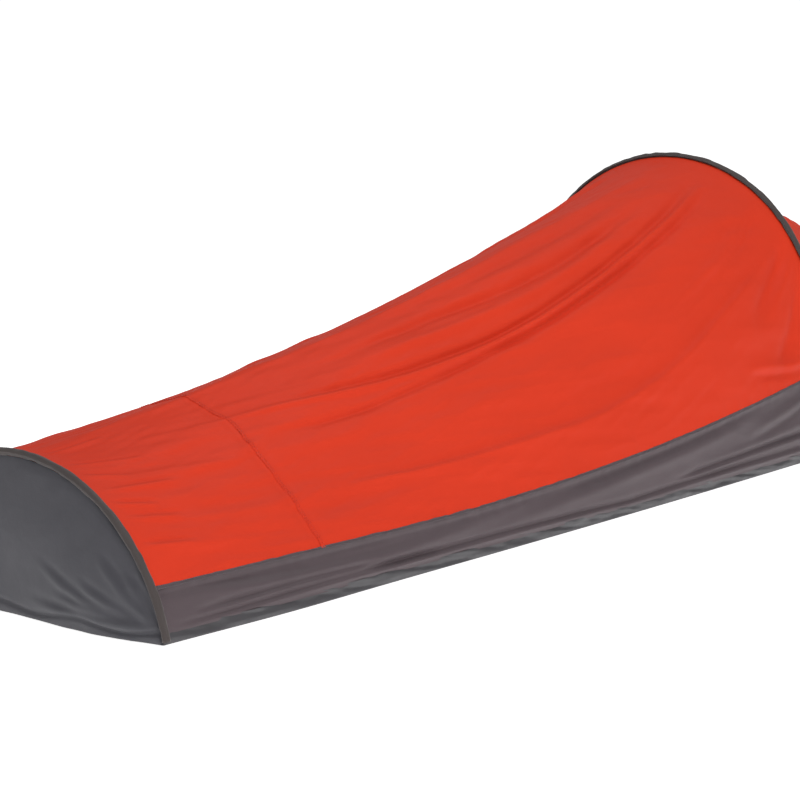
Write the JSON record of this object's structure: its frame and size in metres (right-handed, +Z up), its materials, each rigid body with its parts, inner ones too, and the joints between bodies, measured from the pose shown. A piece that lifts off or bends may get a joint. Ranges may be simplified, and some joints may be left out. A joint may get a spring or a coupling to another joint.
{
  "type": "bivy sack",
  "caption": "Low two-hoop bivy shelter with a red canopy, grey tub floor and walls, a domed foot end and a zipped door in the sloping head end.",
  "frame": {"origin": "on the ground, at the middle of the whole length and width", "axes": "+X runs from the foot end to the head end, +Z is up, and +Y is to the left when looking from the foot towards the head"},
  "size_m": [2.209, 0.7284, 0.5142],
  "materials": {
    "canopy_fabric": "satin",
    "wall_fabric": "satin",
    "end_fabric": "satin",
    "floor_fabric": "satin",
    "sleeve_fabric": "matte",
    "seam_tape": "satin",
    "zip_tape": "matte",
    "zip_coil": "satin",
    "zip_metal": "satin",
    "pole_metal": "satin",
    "pole_tip_plastic": "matte",
    "shock_cord": "matte",
    "webbing": "matte",
    "eyelet_brass": "satin"
  },
  "bodies": {
    "root": {"floor_sheet": "floor_fabric", "side_wall_left": "wall_fabric", "side_wall_right": "wall_fabric", "foot_end_panel": "end_fabric", "head_end_wall": "wall_fabric", "canopy_foot_panel": "canopy_fabric", "canopy_main_panel": "canopy_fabric", "hood_panel": "canopy_fabric", "front_panel": "canopy_fabric", "cross_seam_tape": "seam_tape", "zip_fixed_tape": "zip_tape", "zip_fixed_coil": "zip_coil", "zip_end_stops": "zip_metal", "peg_loops": "webbing", "peg_eyelets": "eyelet_brass"},
    "head_hoop": {"head_hoop_sleeve": "sleeve_fabric", "head_pole_lower_section_left": "pole_metal", "head_pole_lower_section_right": "pole_metal", "head_pole_upper_section_left": "pole_metal", "head_pole_upper_section_right": "pole_metal", "head_pole_ferrules": "pole_metal", "head_pole_tips": "pole_tip_plastic", "head_shock_cord": "shock_cord"},
    "foot_hoop": {"foot_hoop_sleeve": "sleeve_fabric", "foot_pole_section_left": "pole_metal", "foot_pole_section_right": "pole_metal", "foot_pole_ferrules": "pole_metal", "foot_pole_tips": "pole_tip_plastic", "foot_shock_cord": "shock_cord"},
    "door": {"door_flap": "canopy_fabric", "zip_door_tape": "zip_tape", "zip_door_coil": "zip_coil"},
    "slider": {"zip_slider": "zip_metal"},
    "pull": {"zip_pull": "zip_metal"}
  },
  "joints": [
    {"name": "head_hoop_fold", "type": "hinge", "parent": "root", "child": "head_hoop", "pos_m": [0.5595, 0, 0.016], "axis": [0, 1, 0], "range_deg": [-86, 0], "deforming": ["floor_sheet", "canopy_foot_panel", "canopy_main_panel", "cross_seam_tape", "hood_panel", "front_panel", "side_wall_left", "side_wall_right", "foot_end_panel", "head_end_wall", "zip_fixed_tape", "zip_fixed_coil", "zip_end_stops", "door_flap", "zip_door_tape", "zip_door_coil", "zip_slider", "zip_pull"]},
    {"name": "foot_hoop_fold", "type": "hinge", "parent": "root", "child": "foot_hoop", "pos_m": [-1.0905, 0, 0.012], "axis": [0, 1, 0], "range_deg": [0, 86]},
    {"name": "door_open", "type": "hinge", "parent": "root", "child": "door", "pos_m": [1.02803, 0, 0.15469], "axis": [0, 1, 0], "range_deg": [0, 160]},
    {"name": "zip_run", "type": "hinge", "parent": "root", "child": "slider", "pos_m": [0.8982, 0, 0.25652], "axis": [0.6172, 0, 0.7868], "range_deg": [0, 268]},
    {"name": "pull_flip", "type": "hinge", "parent": "slider", "child": "pull", "pos_m": [1.01525, 0.14811, 0.17399], "axis": [-0.5466, -0.7193, 0.4287], "range_deg": [0, 165]}
  ],
  "couplings": [
    {"joint": "foot_hoop_fold", "follows": "head_hoop_fold", "ratio": -1},
    {"joint": "zip_run", "follows": "door_open", "ratio": 1.675}
  ]
}
